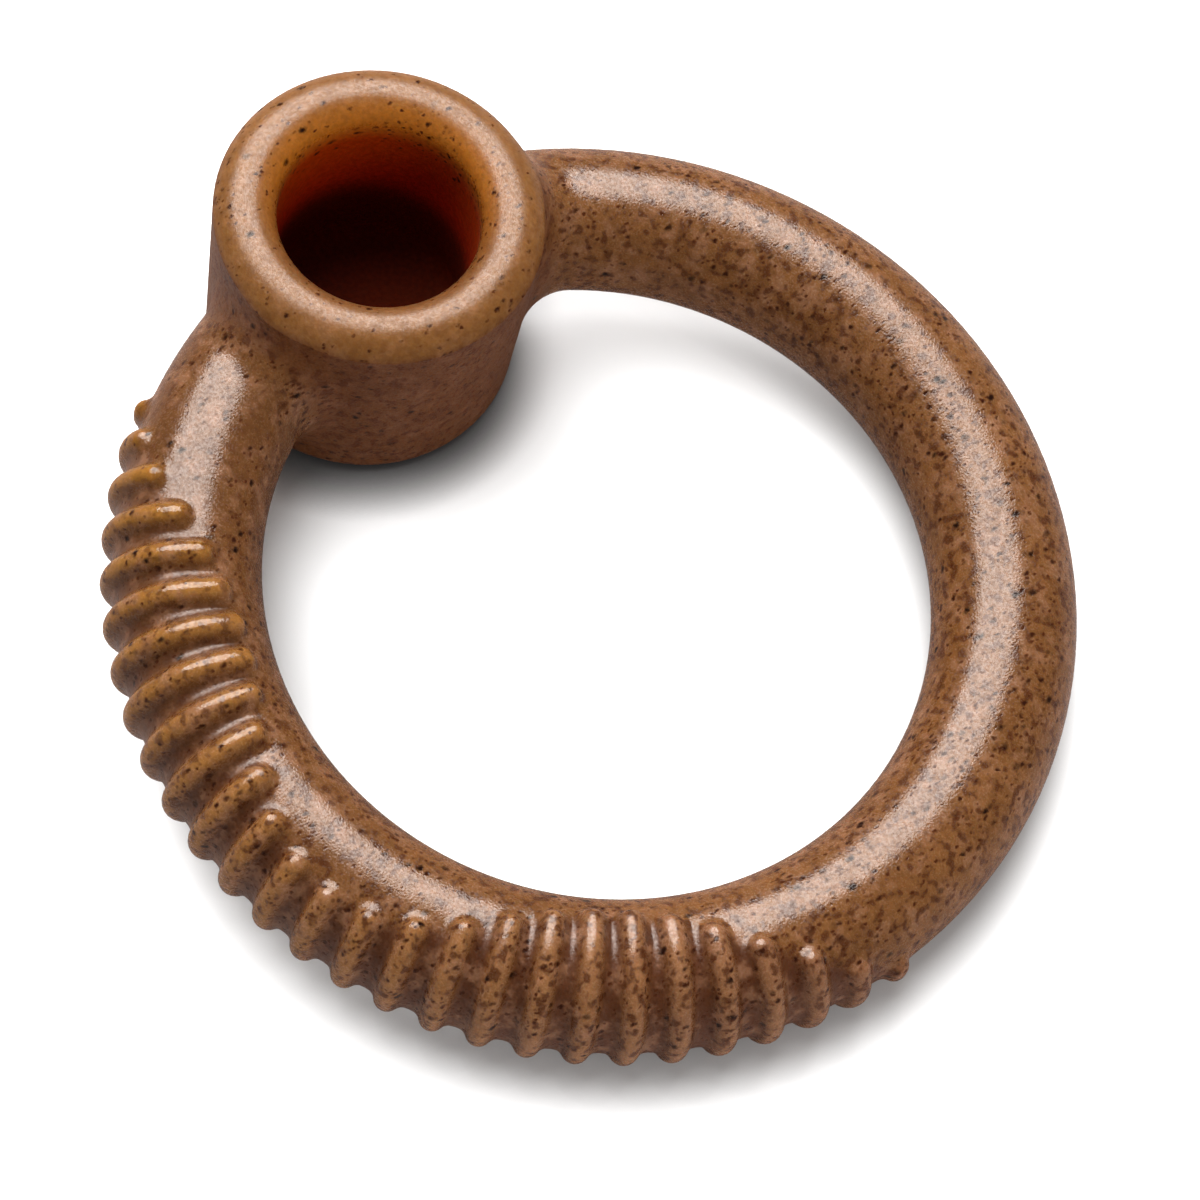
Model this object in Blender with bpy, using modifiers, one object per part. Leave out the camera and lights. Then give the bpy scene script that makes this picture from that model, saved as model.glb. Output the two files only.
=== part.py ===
"""Nylon chew ring: a round bar closed into a ring by an open cup, with a ribbed grip along one side.

Metres, +Z up. The origin is the centre of the cup's flat base, the cup's axis is Z, and the ring's
centre lies along +X. Places along the ring are turns about its own centre, counted from the cup,
counter-clockwise seen from above. Places round the bar are angles from its outermost line, upwards.
"""

import math

import bmesh
import bpy
from mathutils import Vector

MM = 0.001

# The ring
RING_RADIUS = 56.0 * MM  # from the ring's centre to the middle of the bar
BAR_RADIUS = 10.0 * MM
JOINT_PAST = 5.0 * MM  # from opposite the cup to where the two bars meet

# The cup
CUP_HEIGHT = 37.6 * MM
EDGE_RADIUS = 22.7 * MM  # the sharp edge where the lip meets the wall
EDGE_DROP = 2.9 * MM  # from the lip's crest down to that edge
FOOT_RADIUS = 22.1 * MM  # the wall's radius where its rounding to the base starts
FOOT_ROUND = 2.5 * MM
BORE_RADIUS = 14.0 * MM
BORE_FOOT_RADIUS = 13.3 * MM
FLOOR_THICKNESS = 7.0 * MM
FLOOR_ROUND = 3.0 * MM
LIP_ROUND = 4.2 * MM  # the lip's inner edge
LIP_SHARE_MOST = 0.7  # how much of the wall that rounding may take

# The necks, where the bar runs into the cup
NECK_FILLET = 7.4 * MM

# The ribbed grip, measured along the middle of the bar
GRIP_LEAD = 3.3 * MM  # from the neck's end to the first rib
GRIP_LENGTH = 141.8 * MM  # from the first rib to the last
RIB_COUNT = 27
RIB_WIDTH = 3.5 * MM
RIB_HEIGHT = 1.65 * MM
REACH_ENDS = math.radians(4)  # the end ribs' rounded tips, from the bar's outermost line
REACH_PEAK = math.radians(116)  # the longest ribs
REACH_MIDDLE = math.radians(54)  # the middle rib

# Gap left wherever two pieces meet
SEAT_GAP = 0.3 * MM

# Facets
BAR_SIDES = 24
CUP_SIDES = 48
LEAD_STEPS = 3
NECK_STEPS = 4
ROUND_STEPS = 4
RIB_STEP = math.radians(16)
SMOOTH_STEP = math.radians(5.5)
SHADE_ANGLE = math.radians(40)

# Finish, as linear colours
NYLON_BROWN = (0.30, 0.145, 0.062)
NYLON_DARK = (0.22, 0.10, 0.045)
NYLON_AMBER = (0.38, 0.175, 0.055)
NYLON_ROUGHNESS = 0.4

# Worked out from the sizes above
RING_LEVEL = CUP_HEIGHT / 2
EDGE_LEVEL = CUP_HEIGHT - EDGE_DROP
NECK_ROOM = min(EDGE_LEVEL - RING_LEVEL, RING_LEVEL - FOOT_ROUND) - BAR_RADIUS
NECK_ROUND = min(NECK_FILLET, NECK_ROOM + SEAT_GAP + math.sqrt(2 * NECK_ROOM * SEAT_GAP))
RIB_PATH_RADIUS = BAR_RADIUS + RIB_HEIGHT - RIB_WIDTH / 2
RIB_PITCH = GRIP_LENGTH / (RIB_COUNT - 1) / RING_RADIUS
BAR_JOINT = math.pi + JOINT_PAST / RING_RADIUS
BAR_ANGLES = [2 * math.pi * i / BAR_SIDES for i in range(BAR_SIDES)]


def clear_scene():
    for obj in list(bpy.data.objects):
        bpy.data.objects.remove(obj, do_unlink=True)


def collection(name):
    made = bpy.data.collections.new(name)
    bpy.context.scene.collection.children.link(made)
    return made


def nylon(name, colour):
    material = bpy.data.materials.new(name)
    material.use_nodes = True
    shader = material.node_tree.nodes["Principled BSDF"]
    shader.inputs["Base Color"].default_value = (*colour, 1)
    shader.inputs["Roughness"].default_value = NYLON_ROUGHNESS
    shader.inputs["Metallic"].default_value = 0
    return material


def add_mesh(name, mesh, group, material):
    obj = bpy.data.objects.new(name, mesh)
    mesh.materials.append(material)
    group.objects.link(obj)
    return obj


def smooth(mesh):
    mesh.shade_smooth()
    mesh.set_sharp_from_angle(angle=SHADE_ANGLE)


def bar_point(turn, around, radius):
    """A point at this distance from the bar's middle line."""
    reach = RING_RADIUS + radius * math.cos(around)
    return Vector((
        RING_RADIUS - reach * math.cos(turn),
        -reach * math.sin(turn),
        RING_LEVEL + radius * math.sin(around),
    ))


def bar_section(turn, radius=BAR_RADIUS):
    return [bar_point(turn, around, radius) for around in BAR_ANGLES]


def wall_radius(level):
    """The cup's outer wall tapers evenly from its sharp edge to its foot."""
    taper = (EDGE_RADIUS - FOOT_RADIUS) / (EDGE_LEVEL - FOOT_ROUND)
    return FOOT_RADIUS + taper * (level - FOOT_ROUND)


def neck_turn(around):
    """The turn at which a ball of the fillet's radius, rolled along the bar, touches the cup's wall.

    The ball's middle is the fillet's radius clear of both, so its distances from the ring's centre
    and from the cup's axis are known, and the law of cosines gives the turn.
    """
    from_bar = BAR_RADIUS + NECK_ROUND
    from_centre = RING_RADIUS + from_bar * math.cos(around)
    from_cup = wall_radius(RING_LEVEL + from_bar * math.sin(around)) + NECK_ROUND
    return math.acos(
        (from_centre**2 + RING_RADIUS**2 - from_cup**2) / (2 * from_centre * RING_RADIUS)
    )


NECK_END = max(neck_turn(around) for around in BAR_ANGLES)
GRIP_START = NECK_END + GRIP_LEAD / RING_RADIUS
RIB_TURNS = [GRIP_START + i * RIB_PITCH for i in range(RIB_COUNT)]
VALLEY_TURNS = [turn - RIB_PITCH / 2 for turn in RIB_TURNS] + [RIB_TURNS[-1] + RIB_PITCH / 2]


def lead_loops(side, start):
    """Loops between the bar's last flat section and the neck's skewed edge, part of the way to it."""
    loops = []
    for step in range(1, LEAD_STEPS):
        share = step / LEAD_STEPS
        turns = [start + share * (neck_turn(around) - start) for around in BAR_ANGLES]
        loops.append([bar_point(side * t, around, BAR_RADIUS) for t, around in zip(turns, BAR_ANGLES)])
    return loops


def neck_loops(side):
    """Loops of the fillet from the bar towards the cup's wall, ending the seat gap short of it.

    Each point lies on the rolling ball, between where the ball touches the bar and where it would
    touch the cup.
    """
    loops = [[] for _ in range(NECK_STEPS + 1)]
    for around in BAR_ANGLES:
        turn = side * neck_turn(around)
        ball = bar_point(turn, around, BAR_RADIUS + NECK_ROUND)
        to_bar = (bar_point(turn, around, 0) - ball).normalized()
        to_cup = Vector((-ball.x, -ball.y, 0)).normalized()
        swing = to_bar.angle(to_cup)
        last = 1 - math.acos(1 - SEAT_GAP / NECK_ROUND) / swing
        for step, loop in enumerate(loops):
            loop.append(ball + NECK_ROUND * to_bar.slerp(to_cup, last * step / NECK_STEPS))
    return loops


def saddle_loops(rim):
    """The hollow end of a neck: its rim drawn in on a surface the seat gap outside the cup's wall."""
    turns = [math.atan2(point.y, point.x) for point in rim]
    levels = [point.z for point in rim]
    middle_turn = (min(turns) + max(turns)) / 2
    middle_level = (min(levels) + max(levels)) / 2
    loops = []
    for step in range(1, ROUND_STEPS + 1):
        share = 1 - step / ROUND_STEPS
        loop = []
        for turn, level in zip(turns, levels):
            angle = middle_turn + share * (turn - middle_turn)
            height = middle_level + share * (level - middle_level)
            radius = wall_radius(height) + SEAT_GAP
            loop.append(Vector((radius * math.cos(angle), radius * math.sin(angle), height)))
        loops.append(loop)
    return loops


def loft(name, loops):
    """A closed skin through loops of as many points each; a loop drawn into one point closes itself."""
    mesh = bpy.data.meshes.new(name)
    form = bmesh.new()
    rings = [[form.verts.new(point) for point in loop] for loop in loops]
    for near, far in zip(rings, rings[1:]):
        for i in range(len(near)):
            j = (i + 1) % len(near)
            form.faces.new((near[i], near[j], far[j], far[i]))
    form.faces.new(rings[0])
    form.faces.new(rings[-1])
    bmesh.ops.remove_doubles(form, verts=form.verts[:], dist=SEAT_GAP / 100)
    bmesh.ops.recalc_face_normals(form, faces=form.faces[:])
    form.to_mesh(mesh)
    form.free()
    smooth(mesh)
    return mesh


def bar(name, side, turns):
    """Round bar through flat sections, from its joint to the last before the cup, then its neck.

    side is 1 for the bar that leaves the cup counter-clockwise, and -1 for the other.
    """
    loops = [bar_section(side * turn) for turn in turns]
    neck = neck_loops(side)
    return loft(name, loops + lead_loops(side, turns[-1]) + neck + saddle_loops(neck[-1]))


def even_turns(start, end):
    """Evenly spaced turns, from the start to the last one before the end."""
    count = math.ceil(abs(end - start) / SMOOTH_STEP)
    return [start + (end - start) * i / count for i in range(count)]


def ribbed_bar():
    """The bar under the grip, with a section in every valley between two ribs."""
    margin = SEAT_GAP / RING_RADIUS
    valleys = [turn for turn in VALLEY_TURNS if NECK_END + margin < turn < BAR_JOINT - margin]
    return bar("ribbed_bar", 1, even_turns(BAR_JOINT, valleys[-1]) + valleys[::-1])


def smooth_bar():
    """The plain bar, which closes the rest of the ring."""
    joint = 2 * math.pi - BAR_JOINT - SEAT_GAP / RING_RADIUS
    return bar("smooth_bar", -1, even_turns(joint, NECK_END))


def arc(centre, radius, start, end):
    """Points of a rounding in the cup's profile, between two angles in degrees."""
    angles = [math.radians(start + (end - start) * i / ROUND_STEPS) for i in range(ROUND_STEPS + 1)]
    return [(centre[0] + radius * math.cos(a), centre[1] + radius * math.sin(a)) for a in angles]


def cup_profile():
    """From the middle of the bore's floor, up the bore, over the lip and down the outer side."""
    lip_round = min(LIP_ROUND, LIP_SHARE_MOST * (EDGE_RADIUS - BORE_RADIUS))
    crest_radius = BORE_RADIUS + lip_round
    lip_width = EDGE_RADIUS - crest_radius
    crown = (lip_width**2 + EDGE_DROP**2) / (2 * EDGE_DROP)
    edge_angle = math.degrees(math.atan2(crown - EDGE_DROP, lip_width))
    floor_corner = (BORE_FOOT_RADIUS - FLOOR_ROUND, FLOOR_THICKNESS + FLOOR_ROUND)
    return [
        (0, FLOOR_THICKNESS),
        *arc(floor_corner, FLOOR_ROUND, -90, 0),
        *arc((crest_radius, CUP_HEIGHT - lip_round), lip_round, 180, 90),
        *arc((crest_radius, CUP_HEIGHT - crown), crown, 90, edge_angle)[1:],
        *arc((FOOT_RADIUS - FOOT_ROUND, FOOT_ROUND), FOOT_ROUND, 0, -90),
        (0, 0),
    ]


def cup(group, material):
    mesh = bpy.data.meshes.new("cup")
    points = [(radius, 0, level) for radius, level in cup_profile()]
    mesh.from_pydata(points, [(i, i + 1) for i in range(len(points) - 1)], [])
    obj = add_mesh("cup", mesh, group, material)
    turned = obj.modifiers.new("turned", "SCREW")
    turned.steps = CUP_SIDES
    turned.render_steps = CUP_SIDES
    turned.use_merge_vertices = True
    turned.merge_threshold = SEAT_GAP / 100
    turned.use_smooth_shade = True
    return obj


def rib_reach(index):
    """How far round the bar a rib's rounded tips sit, above and below its outermost line.

    From each end of the grip the ribs lengthen along a quarter sine wave to the longest, half-way
    to the middle, and from there they shorten along a cosine wave to the middle rib.
    """
    place = abs(2 * index / (RIB_COUNT - 1) - 1)
    if place > 0.5:
        return REACH_ENDS + (REACH_PEAK - REACH_ENDS) * math.sin(math.pi * place)
    mean = (REACH_PEAK + REACH_MIDDLE) / 2
    return mean - (REACH_PEAK - REACH_MIDDLE) / 2 * math.cos(2 * math.pi * place)


def rib_path(index):
    """(angle round the bar, share of the rib's width) along a rib, from tip to tip."""
    reach = rib_reach(index)
    tip = []
    for i in range(1, ROUND_STEPS):
        angle = math.pi / 2 * i / (ROUND_STEPS - 1)
        tip.append((RIB_WIDTH / 2 * math.sin(angle) / RIB_PATH_RADIUS, math.cos(angle)))
    count = max(2, math.ceil(2 * reach / RIB_STEP))
    middle = [(-reach + 2 * reach * i / count, 1) for i in range(count + 1)]
    lower = [(-reach - along, share) for along, share in reversed(tip)]
    upper = [(reach + along, share) for along, share in tip]
    return lower + middle + upper


def rib_blank(name, index):
    """A round-tipped rod bent about the bar, half sunk in it."""
    path = rib_path(index)
    curve = bpy.data.curves.new(name, "CURVE")
    curve.dimensions = "3D"
    curve.bevel_depth = RIB_WIDTH / 2
    curve.bevel_resolution = 2
    curve.use_fill_caps = True
    spline = curve.splines.new("POLY")
    spline.points.add(len(path) - 1)
    for point, (around, share) in zip(spline.points, path):
        point.co = (*bar_point(RIB_TURNS[index], around, RIB_PATH_RADIUS), 1)
        point.radius = share
    rod = bpy.data.objects.new(name + "_rod", curve)
    bpy.context.scene.collection.objects.link(rod)
    mesh = bpy.data.meshes.new_from_object(rod.evaluated_get(bpy.context.evaluated_depsgraph_get()))
    bpy.data.objects.remove(rod, do_unlink=True)
    mesh.name = name
    form = bmesh.new()
    form.from_mesh(mesh)
    bmesh.ops.remove_doubles(form, verts=form.verts[:], dist=SEAT_GAP / 100)
    bmesh.ops.recalc_face_normals(form, faces=form.faces[:])
    form.to_mesh(mesh)
    form.free()
    smooth(mesh)
    return mesh


def rib_seat(group, material):
    """The bar's own surface, the seat gap larger, which hollows the ribs to sit on the bar."""
    mesh = loft("rib_seat", [bar_section(turn, BAR_RADIUS + SEAT_GAP) for turn in VALLEY_TURNS])
    seat = add_mesh("rib_seat", mesh, group, material)
    seat.hide_render = True
    seat.display_type = "WIRE"
    return seat


def ribs(group, material, seat):
    for index in range(RIB_COUNT):
        name = f"rib_{index + 1:02d}"
        rib = add_mesh(name, rib_blank(name, index), group, material)
        hollow = rib.modifiers.new("hollow", "BOOLEAN")
        hollow.operation = "DIFFERENCE"
        hollow.solver = "EXACT"
        hollow.object = seat


def main():
    clear_scene()
    parts = collection("chew_ring")
    cutters = collection("cutters")
    cup(parts, nylon("nylon_cup", NYLON_DARK))
    add_mesh("smooth_bar", smooth_bar(), parts, nylon("nylon_smooth_bar", NYLON_BROWN))
    add_mesh("ribbed_bar", ribbed_bar(), parts, nylon("nylon_ribbed_bar", NYLON_BROWN))
    amber = nylon("nylon_ribs", NYLON_AMBER)
    ribs(parts, amber, rib_seat(cutters, amber))


main()
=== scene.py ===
"""Dressed nylon chew ring: one moulded skin over the CAD frame, with its nylon, floor, lights and camera.

Metres, in the frame's own axes: the cup's axis is Z, its base is at the origin, the ring's centre lies
along +X. Places along the ring are turns about its centre, counted from the cup, counter-clockwise
seen from above. Places round the bar are angles from its outermost line, upwards.
"""

import math

import bmesh
import bpy
import numpy as np
from mathutils import Matrix, Vector


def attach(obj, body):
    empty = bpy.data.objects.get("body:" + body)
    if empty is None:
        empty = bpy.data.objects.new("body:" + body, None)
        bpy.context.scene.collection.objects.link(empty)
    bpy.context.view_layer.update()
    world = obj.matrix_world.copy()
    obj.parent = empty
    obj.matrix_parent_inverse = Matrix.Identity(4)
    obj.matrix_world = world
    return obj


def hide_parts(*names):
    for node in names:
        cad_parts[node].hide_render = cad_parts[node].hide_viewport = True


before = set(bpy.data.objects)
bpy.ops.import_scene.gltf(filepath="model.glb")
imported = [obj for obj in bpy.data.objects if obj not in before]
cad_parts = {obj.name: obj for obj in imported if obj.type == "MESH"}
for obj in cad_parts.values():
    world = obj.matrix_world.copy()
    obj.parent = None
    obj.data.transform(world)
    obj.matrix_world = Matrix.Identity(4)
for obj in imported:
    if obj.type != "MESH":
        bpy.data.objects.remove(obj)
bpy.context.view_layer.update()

MM = 0.001

# The ring and its cup, as in the CAD model
RING_RADIUS = 56.0 * MM
BAR_RADIUS = 10.0 * MM
CUP_HEIGHT = 37.6 * MM
EDGE_RADIUS = 22.7 * MM  # the sharp edge under the lip
EDGE_DROP = 2.9 * MM  # from the lip's crest down to that edge
FOOT_RADIUS = 22.1 * MM
FOOT_ROUND = 2.5 * MM
BORE_RADIUS = 14.0 * MM
BORE_FOOT_RADIUS = 13.3 * MM
BORE_FLOOR = 7.0 * MM  # its level, and the thickness of the cup's bottom
BORE_FLOOR_ROUND = 3.0 * MM
LIP_ROUND = 4.2 * MM
NECK_FILLET = 7.4 * MM

# The ribbed grip, as in the CAD model
GRIP_LEAD = 3.3 * MM
GRIP_LENGTH = 141.8 * MM
RIB_COUNT = 27
RIB_WIDTH = 3.5 * MM
RIB_HEIGHT = 1.65 * MM
REACH_ENDS = math.radians(4)
REACH_PEAK = math.radians(116)
REACH_MIDDLE = math.radians(54)

# Small roundings that only the skin has
EDGE_ROUND = 0.6 * MM  # the sharp edge under the lip
RIB_FOOT_ROUND = 1.6 * MM  # where a rib rises from the bar
NECK_MARGIN = 0.3 * MM  # wall left between a neck and the cup's edges
PROUD_FADE = 2 * MM  # how far along the wall a neck that was cut short still stands proud
PROUD_FADE_PAST = 3 * MM  # and how far past the wall's edge

# How finely the bar and its necks are divided
BAR_SAMPLES = 160
INNER_SPAN = (math.radians(135), math.radians(155))  # where the bar's plain inner side begins
INNER_SHARE = 0.45  # how closely the inner side is sampled, against the ribbed side
DENSITY_SAMPLES = 4001
RIB_LINES = np.array([0, 0.5, 0.95, 1.28, 1.51, 1.76, 2.06, 2.42]) * MM
RIB_LINES_REACH = 53 * MM  # nearer the ring's centre than this, the lines draw together
LEAD_LINES = 8
PLAIN_LINES = 60
NECK_ROWS = 10

# How finely the cup is divided
WALL_ROWS = 16
SIDE_ANGLE = math.radians(10)  # the part of a neck's edge that faces the wall's two upright middles
UPRIGHT_ANGLE = math.radians(55)  # from here up, lines run straight from the neck to the cup's edge
LEAN_POWER = 1.5  # how late the other lines lean out towards the corners
EDGE_POINTS = 5
CROWN_START = 0.06  # radians from the edge's rounding to where the crown's steps start
CROWN_STEPS = 10
LIP_STEPS = 14
BORE_STEPS = 10
BORE_CORNER_STEPS = 7
BORE_FLOOR_STEPS = 6
FOOT_STEPS = 8
BASE_STEPS = 7
WELD = 0.001 * MM  # points nearer than this are one point

# Worked out from the sizes above
RING_LEVEL = CUP_HEIGHT / 2
RING_CENTRE = Vector((RING_RADIUS, 0, RING_LEVEL))
EDGE_LEVEL = CUP_HEIGHT - EDGE_DROP
RIB_PATH_RADIUS = BAR_RADIUS + RIB_HEIGHT - RIB_WIDTH / 2
RIB_PITCH = GRIP_LENGTH / (RIB_COUNT - 1) / RING_RADIUS


def smoothly(low, high, value):
    """0 below low, 1 above high, and a smooth S between them."""
    share = np.clip((value - low) / (high - low), 0, 1)
    return share * share * (3 - 2 * share)


def wall_radius(level):
    """The cup's outer wall: a straight taper from its foot to its sharp edge."""
    taper = (EDGE_RADIUS - FOOT_RADIUS) / (EDGE_LEVEL - FOOT_ROUND)
    return FOOT_RADIUS + taper * (level - FOOT_ROUND)


def bar_points(turn, around, radius):
    """Torus: a circle of this radius round the bar's middle line, carried round the ring's centre."""
    reach = RING_RADIUS + radius * np.cos(around)
    return np.stack(
        [
            RING_RADIUS - reach * np.cos(turn),
            -reach * np.sin(turn),
            RING_LEVEL + radius * np.sin(around) + 0 * reach,
        ],
        axis=-1,
    )


def cup_points(angle, level, radius):
    """Cylindrical to straight coordinates about the cup's axis."""
    return np.stack([radius * np.cos(angle), radius * np.sin(angle), level + 0 * radius], axis=-1)


def neck_turn(around):
    """The turn at which a ball of the fillet's radius, rolled along the bar, touches the cup's wall.

    The ball's middle is the fillet's radius clear of both, so its distances from the ring's centre
    and from the cup's axis are known, and the law of cosines gives the turn.
    """
    from_bar = BAR_RADIUS + NECK_FILLET
    from_centre = RING_RADIUS + from_bar * np.cos(around)
    from_cup = wall_radius(RING_LEVEL + from_bar * np.sin(around)) + NECK_FILLET
    return np.arccos((from_centre**2 + RING_RADIUS**2 - from_cup**2) / (2 * from_centre * RING_RADIUS))


def bar_angles():
    """Angles round the bar from its innermost line, closer together where the ribs are.

    They are read off the running sum of a density that falls smoothly on the bar's inner side.
    """
    fine = np.linspace(-math.pi, math.pi, DENSITY_SAMPLES)
    density = 1 - (1 - INNER_SHARE) * smoothly(*INNER_SPAN, np.abs(fine))
    total = np.concatenate([[0], np.cumsum((density[1:] + density[:-1]) / 2)])
    return np.interp(np.arange(BAR_SAMPLES) * total[-1] / BAR_SAMPLES, total, fine)


AROUND = bar_angles()
GRIP_START = neck_turn(AROUND).max() + GRIP_LEAD / RING_RADIUS
RIB_TURNS = GRIP_START + RIB_PITCH * np.arange(RIB_COUNT)


def rib_reach(index):
    """How far round the bar a rib's rounded tips sit, above and below its outermost line.

    From each end of the grip the ribs lengthen along a quarter sine wave to the longest, half-way
    to the middle, and from there they shorten along a cosine wave to the middle rib.
    """
    place = np.abs(2 * index / (RIB_COUNT - 1) - 1)
    rising = REACH_ENDS + (REACH_PEAK - REACH_ENDS) * np.sin(math.pi * place)
    mean = (REACH_PEAK + REACH_MIDDLE) / 2
    falling = mean - (REACH_PEAK - REACH_MIDDLE) / 2 * np.cos(2 * math.pi * place)
    return np.where(place > 0.5, rising, falling)


def bead_height(away):
    """A rib's height over the bar at a distance from its middle line.

    A circle of the rib's half width, its middle just inside the bar's surface, runs into a small
    hollow circle that touches it and the bar.
    """
    half = RIB_WIDTH / 2
    sunk = half - RIB_HEIGHT
    foot = RIB_FOOT_ROUND
    foot_middle = math.sqrt((half + foot) ** 2 - (foot + sunk) ** 2)
    meet = foot_middle * half / (half + foot)
    crown = np.sqrt(np.maximum(half**2 - away**2, 0)) - sunk
    hollow = foot - np.sqrt(np.maximum(foot**2 - (foot_middle - away) ** 2, 0))
    return np.where(away < meet, crown, np.where(away < foot_middle, hollow, 0))


def rib_height(turn, around):
    """Height of the nearest rib at a place on the bar.

    The distance from a rib is across it along the bar, and past its reach also along it, which
    rounds its tips.
    """
    index = np.clip(np.round((turn - RIB_TURNS[0]) / RIB_PITCH), 0, RIB_COUNT - 1).astype(int)
    across = (RING_RADIUS + BAR_RADIUS * np.cos(around)) * (turn - RIB_TURNS[index])
    past = RIB_PATH_RADIUS * np.maximum(np.abs(around) - rib_reach(index), 0)
    return bead_height(np.hypot(across, past))


def bar_turns():
    """Turn of every grid line along the bar: a row for each line, a column for each angle round it.

    Lines spread evenly from the skewed edge of a neck to the first valley, follow each rib at fixed
    distances from its middle, or fixed turns on the bar's inner side, and spread evenly again over the
    plain side to the other neck.
    """
    neck = neck_turn(AROUND)
    first = RIB_TURNS[0] - RIB_PITCH / 2
    last = RIB_TURNS[-1] + RIB_PITCH / 2
    lead = neck + (first - neck) * (np.arange(LEAD_LINES) / LEAD_LINES)[:, None]
    beside = np.concatenate([-RIB_LINES[:0:-1], RIB_LINES])
    reach = RING_RADIUS + BAR_RADIUS * np.cos(AROUND)
    on_ribs = RIB_TURNS[:, None, None] + (beside[:, None] / np.maximum(reach, RIB_LINES_REACH))[None]
    valleys = np.broadcast_to((RIB_TURNS - RIB_PITCH / 2)[:, None, None], (RIB_COUNT, 1, BAR_SAMPLES))
    grip = np.concatenate([valleys, on_ribs], axis=1).reshape(-1, BAR_SAMPLES)
    end = 2 * math.pi - neck
    plain = last + (end - last) * (np.arange(PLAIN_LINES + 1) / PLAIN_LINES)[:, None]
    return np.concatenate([lead, grip, plain])


def bar_grid():
    """The bar between its necks: a torus raised along its own normal by the ribs."""
    turn = bar_turns()
    around = np.broadcast_to(AROUND, turn.shape)
    return bar_points(turn, around, BAR_RADIUS + rib_height(turn, around))


def edge_profile():
    """The sharp edge under the lip as a small arc from the wall to the lip's crown.

    The arc's circle touches the wall's line and the crown's tangent, so its middle lies on the
    bisector of their normals. Returns its points and the crown's radius and first angle.
    """
    width = EDGE_RADIUS - BORE_RADIUS - LIP_ROUND
    crown = (width**2 + EDGE_DROP**2) / (2 * EDGE_DROP)
    high = math.atan2(crown - EDGE_DROP, width)
    low = -math.atan2(EDGE_RADIUS - FOOT_RADIUS, EDGE_LEVEL - FOOT_ROUND)
    middle = (high + low) / 2
    back = EDGE_ROUND / math.cos((high - low) / 2)
    angle = np.linspace(low, high, EDGE_POINTS)
    radius = EDGE_RADIUS - back * math.cos(middle) + EDGE_ROUND * np.cos(angle)
    level = EDGE_LEVEL - back * math.sin(middle) + EDGE_ROUND * np.sin(angle)
    return radius, level, crown, high


WALL_TOP = edge_profile()[1][0]
WALL_FOOT = FOOT_ROUND


def neck_grid():
    """One neck's fillet, on the side of the ribs, from the bar to the cup's wall.

    Each column is an arc of the rolling ball, swung from where the ball touches the bar to where it
    touches the wall, and cut short where it would pass the wall's upper or lower edge.
    """
    turn = neck_turn(AROUND)
    ball = bar_points(turn, AROUND, BAR_RADIUS + NECK_FILLET)
    to_bar = (bar_points(turn, AROUND, np.zeros_like(AROUND)) - ball) / (BAR_RADIUS + NECK_FILLET)
    to_cup = -ball * [1, 1, 0] / np.hypot(ball[:, 0], ball[:, 1])[:, None]
    swing = np.arccos(np.sum(to_bar * to_cup, axis=1))
    over = np.clip(ball[:, 2], WALL_FOOT + NECK_MARGIN, WALL_TOP - NECK_MARGIN) - ball[:, 2]
    cut = over != 0
    rise = np.where(cut, over * np.sin(swing) / (NECK_FILLET * np.where(cut, to_bar[:, 2], 1)), 0)
    last = 1 - np.arcsin(rise) / swing
    share = (np.arange(NECK_ROWS + 1) / NECK_ROWS)[:, None] * last
    near = np.sin((1 - share) * swing) / np.sin(swing)
    far = np.sin(share * swing) / np.sin(swing)
    return ball + NECK_FILLET * (near[..., None] * to_bar + far[..., None] * to_cup)


def wall_border(angle):
    """Where the grid line at each angle round a neck meets the border of its half of the wall.

    The border is a rectangle on the unrolled wall: two upright middles, met by the lines near the
    bar's outermost and innermost line, and the upper and lower edge. Lines that leave the neck
    steeply run straight up or down, the rest lean out more and more towards the corners. Returns
    the angle about the cup's axis and the level, and whether the line ends on the upper, lower edge.
    """
    from_outer = np.abs(AROUND)
    from_inner = math.pi - from_outer
    outer = from_outer < SIDE_ANGLE
    inner = from_inner < SIDE_ANGLE
    on_edge = ~(outer | inner)
    first = np.where(on_edge, from_outer, np.inf).min()
    last = np.where(on_edge, from_inner, np.inf).min()
    to_outer = np.clip((UPRIGHT_ANGLE - from_outer) / (UPRIGHT_ANGLE - first), 0, 1) ** LEAN_POWER
    to_inner = np.clip((UPRIGHT_ANGLE - from_inner) / (UPRIGHT_ANGLE - last), 0, 1) ** LEAN_POWER
    border = angle + to_outer * (-math.pi - angle) + to_inner * (0 - angle)
    border[outer | np.isclose(from_outer, first)] = -math.pi
    border[inner | np.isclose(from_inner, last)] = 0
    height = WALL_TOP - WALL_FOOT
    middle = (WALL_TOP + WALL_FOOT) / 2
    upright = np.sign(AROUND) * np.where(outer, from_outer / first, from_inner / last)
    top = AROUND > 0
    level = np.where(on_edge, np.where(top, WALL_TOP, WALL_FOOT), middle + upright * height / 2)
    return border, level, on_edge & top, on_edge & ~top


def wall_grid(neck):
    """One half of the cup's outer wall, from the border of the half to the neck's end.

    Angle and level run evenly along each line. Where the neck was cut short it stands a little
    proud of the wall, and that fades along the line.
    """
    end = neck[-1]
    angle = np.arctan2(end[:, 1], end[:, 0])
    level = end[:, 2]
    proud = np.hypot(end[:, 0], end[:, 1]) - wall_radius(level)
    border, border_level, upper, lower = wall_border(angle)
    length = np.hypot((border - angle) * EDGE_RADIUS, border_level - level)
    border_proud = proud * np.exp(-((length / PROUD_FADE) ** 2))
    share = (1 - np.arange(WALL_ROWS) / WALL_ROWS)[:, None]
    angles = angle + share * (border - angle)
    levels = level + share * (border_level - level)
    radii = wall_radius(levels) + proud + share * (border_proud - proud)
    return cup_points(angles, levels, radii), (border, border_proud, upper, lower)


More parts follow.
